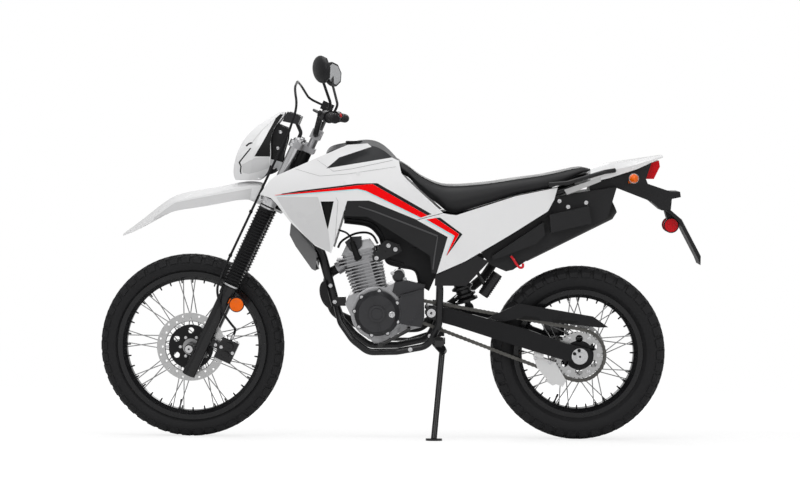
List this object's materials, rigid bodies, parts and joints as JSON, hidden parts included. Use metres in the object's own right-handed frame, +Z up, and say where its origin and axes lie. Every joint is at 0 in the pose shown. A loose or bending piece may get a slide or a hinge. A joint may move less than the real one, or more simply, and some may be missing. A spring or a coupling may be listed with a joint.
{
  "type": "dual sport motorcycle",
  "caption": "Trail and road motorcycle with high fender, spoked wheels, open engine, slim seat and side stand.",
  "frame": {"origin": "middle of the bounding box, on the floor that the tyres and the side stand's foot rest on", "axes": "+X forward, +Y to the rider's left, +Z up; the machine leans 8 degrees to +Y on its stand"},
  "size_m": [2.2444, 0.8454, 1.4614],
  "materials": {
    "tyre_rubber": "block tread",
    "black_rim": "satin black",
    "disc_steel": "ground",
    "black_alloy": "satin black",
    "silver_alloy": "satin",
    "chromed_tube": "polished",
    "boot_rubber": "matte",
    "black_steel": "gloss black",
    "black_plastic": "grained",
    "white_plastic": "gloss",
    "engine_alloy": "cast",
    "dark_cover": "satin",
    "tank_paint": "gloss",
    "seat_vinyl": "grained vinyl",
    "lamp_glass": "clear",
    "red_lens": "moulded lens",
    "amber_lens": "moulded lens",
    "spring_steel": "gloss"
  },
  "bodies": {
    "chassis": {"chain": "disc_steel", "chain_guard": "black_plastic", "chain_guide": "black_plastic", "crankcase": "engine_alloy", "cylinder": "engine_alloy", "engine_covers": "dark_cover", "exhaust_pipe": "black_steel", "foot_pegs": "silver_alloy", "frame": "black_steel", "fuel_tank": "tank_paint", "grab_rails": "black_steel", "horn": "spring_steel", "intake": "engine_alloy", "knee_covers": "black_plastic", "muffler": "black_steel", "pedals": "silver_alloy", "pivot_bolt": "silver_alloy", "plate_holder": "black_plastic", "rear_axle": "silver_alloy", "rear_caliper": "black_alloy", "rear_fender": "black_plastic", "rear_indicators": "amber_lens", "rear_reflectors": "red_lens", "rear_shock": "spring_steel", "seat": "seat_vinyl", "shrouds": "white_plastic", "side_panels": "white_plastic", "starter_motor": "dark_cover", "storage_boxes": "black_plastic", "swingarm": "black_steel", "tail_cowl": "white_plastic", "tail_lamp": "red_lens"},
    "front_wheel": {"front_tyre": "tyre_rubber", "front_rim": "black_rim", "front_disc": "disc_steel"},
    "rear_wheel": {"rear_tyre": "tyre_rubber", "rear_rim": "black_rim", "rear_disc": "disc_steel", "rear_sprocket": "disc_steel"},
    "steering": {"fork_legs": "black_alloy", "fork_boots": "boot_rubber", "fork_tubes": "chromed_tube", "lower_clamp": "black_alloy", "upper_clamp": "silver_alloy", "handlebar": "black_steel", "grips": "boot_rubber", "front_axle": "silver_alloy", "front_caliper": "black_alloy", "fork_reflectors": "amber_lens", "front_fender": "white_plastic", "headlight_cowl": "white_plastic", "headlamp": "lamp_glass", "instrument": "black_plastic", "bar_controls": "black_plastic", "mirrors": "black_plastic", "front_hose": "black_plastic"},
    "side_stand": {"side_stand": "black_steel"}
  },
  "joints": [
    {"name": "steering_turn", "type": "hinge", "parent": "chassis", "child": "steering", "pos_m": [0.41476, -0.05837, 0.94028], "axis": [-0.4226, 0.1261, 0.8975], "range_deg": [-40, 40]},
    {"name": "front_wheel_spin", "type": "hinge", "parent": "steering", "child": "front_wheel", "pos_m": [0.77675, -0.14237, 0.34258], "axis": [0, 0.9903, -0.1392], "continuous": true},
    {"name": "rear_wheel_spin", "type": "hinge", "parent": "chassis", "child": "rear_wheel", "pos_m": [-0.67325, -0.1448, 0.32526], "axis": [0, 0.9903, -0.1392], "continuous": true},
    {"name": "side_stand_fold", "type": "hinge", "parent": "chassis", "child": "side_stand", "pos_m": [-0.16325, -0.02489, 0.33062], "axis": [0.167, 0.9436, 0.286], "range_deg": [0, 92.5]}
  ]
}
